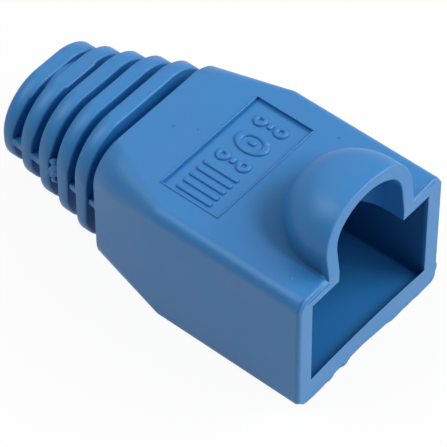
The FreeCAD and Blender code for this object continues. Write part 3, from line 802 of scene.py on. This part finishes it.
def edge_cord(choose, radius, amount, grain, shift=(0.0, 0.0, 0.0), cuts=24):
    """Thin uneven cord along the skin's edges whose middles `choose` accepts. Everything is
    in mm; `shift` moves the cord a little off the edges. Open ends run out thin."""
    copy = bpy.data.objects.new("edges", skin.data.copy())
    bpy.context.scene.collection.objects.link(copy)
    shape = bmesh.new()
    shape.from_mesh(copy.data)
    wanted = {edge for edge in shape.edges
              if len(edge.link_faces) == 2 and edge.calc_face_angle() > math.radians(20)
              and choose((edge.verts[0].co + edge.verts[1].co) / 2)}
    rest = [edge for edge in shape.edges if edge not in wanted]
    bmesh.ops.delete(shape, geom=rest, context="EDGES_FACES")
    bmesh.ops.delete(shape, geom=[v for v in shape.verts if not v.link_edges],
                     context="VERTS")
    bmesh.ops.subdivide_edges(shape, edges=[e for e in shape.edges
                                            if e.calc_length() > 0.6 * MM], cuts=cuts)
    shape.transform(Matrix.Translation(Vector(shift) * MM))
    shape.to_mesh(copy.data)
    shape.free()
    pick(copy)
    bpy.ops.object.convert(target="CURVE")
    copy.data.bevel_depth = radius * MM
    copy.data.bevel_resolution = 2
    copy.data.use_fill_caps = True
    for spline in copy.data.splines:
        if spline.use_cyclic_u:
            continue
        ends = [spline.points[i].co.xyz for i in (0, -1)]
        for point in spline.points:
            from_end = min((point.co.xyz - end).length for end in ends)
            point.radius = 0.3 + 0.7 * min(from_end / MM, 1.0)
    bpy.ops.object.convert(target="MESH")
    if amount:
        ragged(copy, amount * MM, grain * MM)
    stand_on_base(copy)
    bpy.ops.object.shade_smooth()
    return copy


print("cords start from", len(skin.data.edges), "edges of the skin")


# %% Flash: the mouth's bevel, the lip and the panel's rim
def on_front(place):
    """Upper edge of the mouth's front face beside the hood, with its corners."""
    outer = abs(place.x) > 6.6 * MM or place.z > 9.9 * MM
    return (abs(place.y - MOUTH_Y) < NEAR and outer and abs(place.x) > 4.3 * MM
            and 9.3 * MM < place.z < PANEL_TOP)


def behind_bevel(place):
    """Rear edge of the mouth's bevel beside the hood, with its corners."""
    return (abs(place.y - MOUTH_Y - MOUTH_BEVEL) < NEAR and abs(place.x) > 4.4 * MM
            and 9.3 * MM < place.z < PANEL_TOP + NEAR)


def top_left(place):
    """Straight upper edge of the front face, left of the hood."""
    return on_front(place) and place.x < -4.3 * MM and place.z > 10.1 * MM


def on_lip(place):
    """Lower edge of the mouth's front face."""
    return abs(place.y - MOUTH_Y) < NEAR and place.z < 0.75 * MM


def round_panel(place):
    """Upper edge of the sunk panel."""
    return (abs(place.z - PANEL_TOP) < NEAR and abs(place.x) < 4.9 * MM
            and abs(place.y - PANEL_MIDDLE_Y) < 2.4 * MM)


# Name, edges, radius, unevenness and its grain, and shift, all in mm.
CORDS = (("flash_front", on_front, 0.03, 0.03, 1.2, (0, 0.02, 0.01)),
         ("flash_behind", behind_bevel, 0.035, 0.03, 1.2, (0, 0, 0)),
         ("flash_inner", top_left, 0.045, 0.03, 0.9, (0.1, -0.02, -0.22)),
         ("flash_lip", on_lip, 0.07, 0.07, 1.0, (0, 0.03, 0)),
         ("panel_rim", round_panel, 0.06, 0, 1, (0, 0, 0.02)))
for name, choose, radius, amount, grain, shift in CORDS:
    dress(edge_cord(choose, radius, amount, grain, shift), name, blue_pvc)


# %% [markdown]
# ## Rags and lumps
# Here and there the flash is torn off and leaves a small lump: three under the lower lip, one
# at the mouth's lower right corner, and a cluster on one of the tail's webs. Each is a ball,
# pressed to its size in edit mode and made uneven with cloud noise. A sculpted stroke would
# do the same by hand; a displaced ball can be placed again exactly.

# %% Rags: one lump, and where they sit
def lump(place_mm, size_mm, amount):
    """Uneven little ball of plastic, centred at a place in mm."""
    bpy.ops.object.select_all(action="DESELECT")
    bpy.ops.mesh.primitive_ico_sphere_add(subdivisions=4, radius=0.5 * MM,
                                          location=Vector(place_mm) * MM)
    ball = bpy.context.object
    bpy.ops.object.mode_set(mode="EDIT")
    bpy.ops.mesh.select_all(action="SELECT")
    bpy.ops.transform.resize(value=size_mm)
    bpy.ops.object.mode_set(mode="OBJECT")
    bpy.ops.object.transform_apply(location=True, rotation=True, scale=True)
    ragged(ball, amount * MM, 0.5 * MM)
    stand_on_base(ball)
    bpy.ops.object.shade_smooth()
    return ball


FRONT = MOUTH_Y / MM
# Place and size in mm, and unevenness in mm.
LUMPS = (((2.75, FRONT + 0.1, 0.1), (0.7, 0.25, 0.35), 0.12),
         ((-2.35, FRONT + 0.1, 0.15), (0.6, 0.25, 0.4), 0.12),
         ((-3.75, FRONT + 0.1, 0.1), (0.6, 0.25, 0.35), 0.12),
         ((7.2, FRONT + 0.12, 1.1), (0.38, 0.25, 1.0), 0.05),
         ((-5.2, 8.5, 5.3), (0.8, 0.9, 1.1), 0.45),
         ((-5.35, 8.35, 4.75), (0.6, 0.6, 0.6), 0.35),
         ((-5.05, 8.65, 5.95), (0.5, 0.5, 0.6), 0.35))
lumps = [lump(place, size, amount) for place, size, amount in LUMPS]
pick(lumps[0])
for piece in lumps:
    piece.select_set(True)
bpy.ops.object.join()
dress(bpy.context.object, "flash_lumps", blue_pvc)
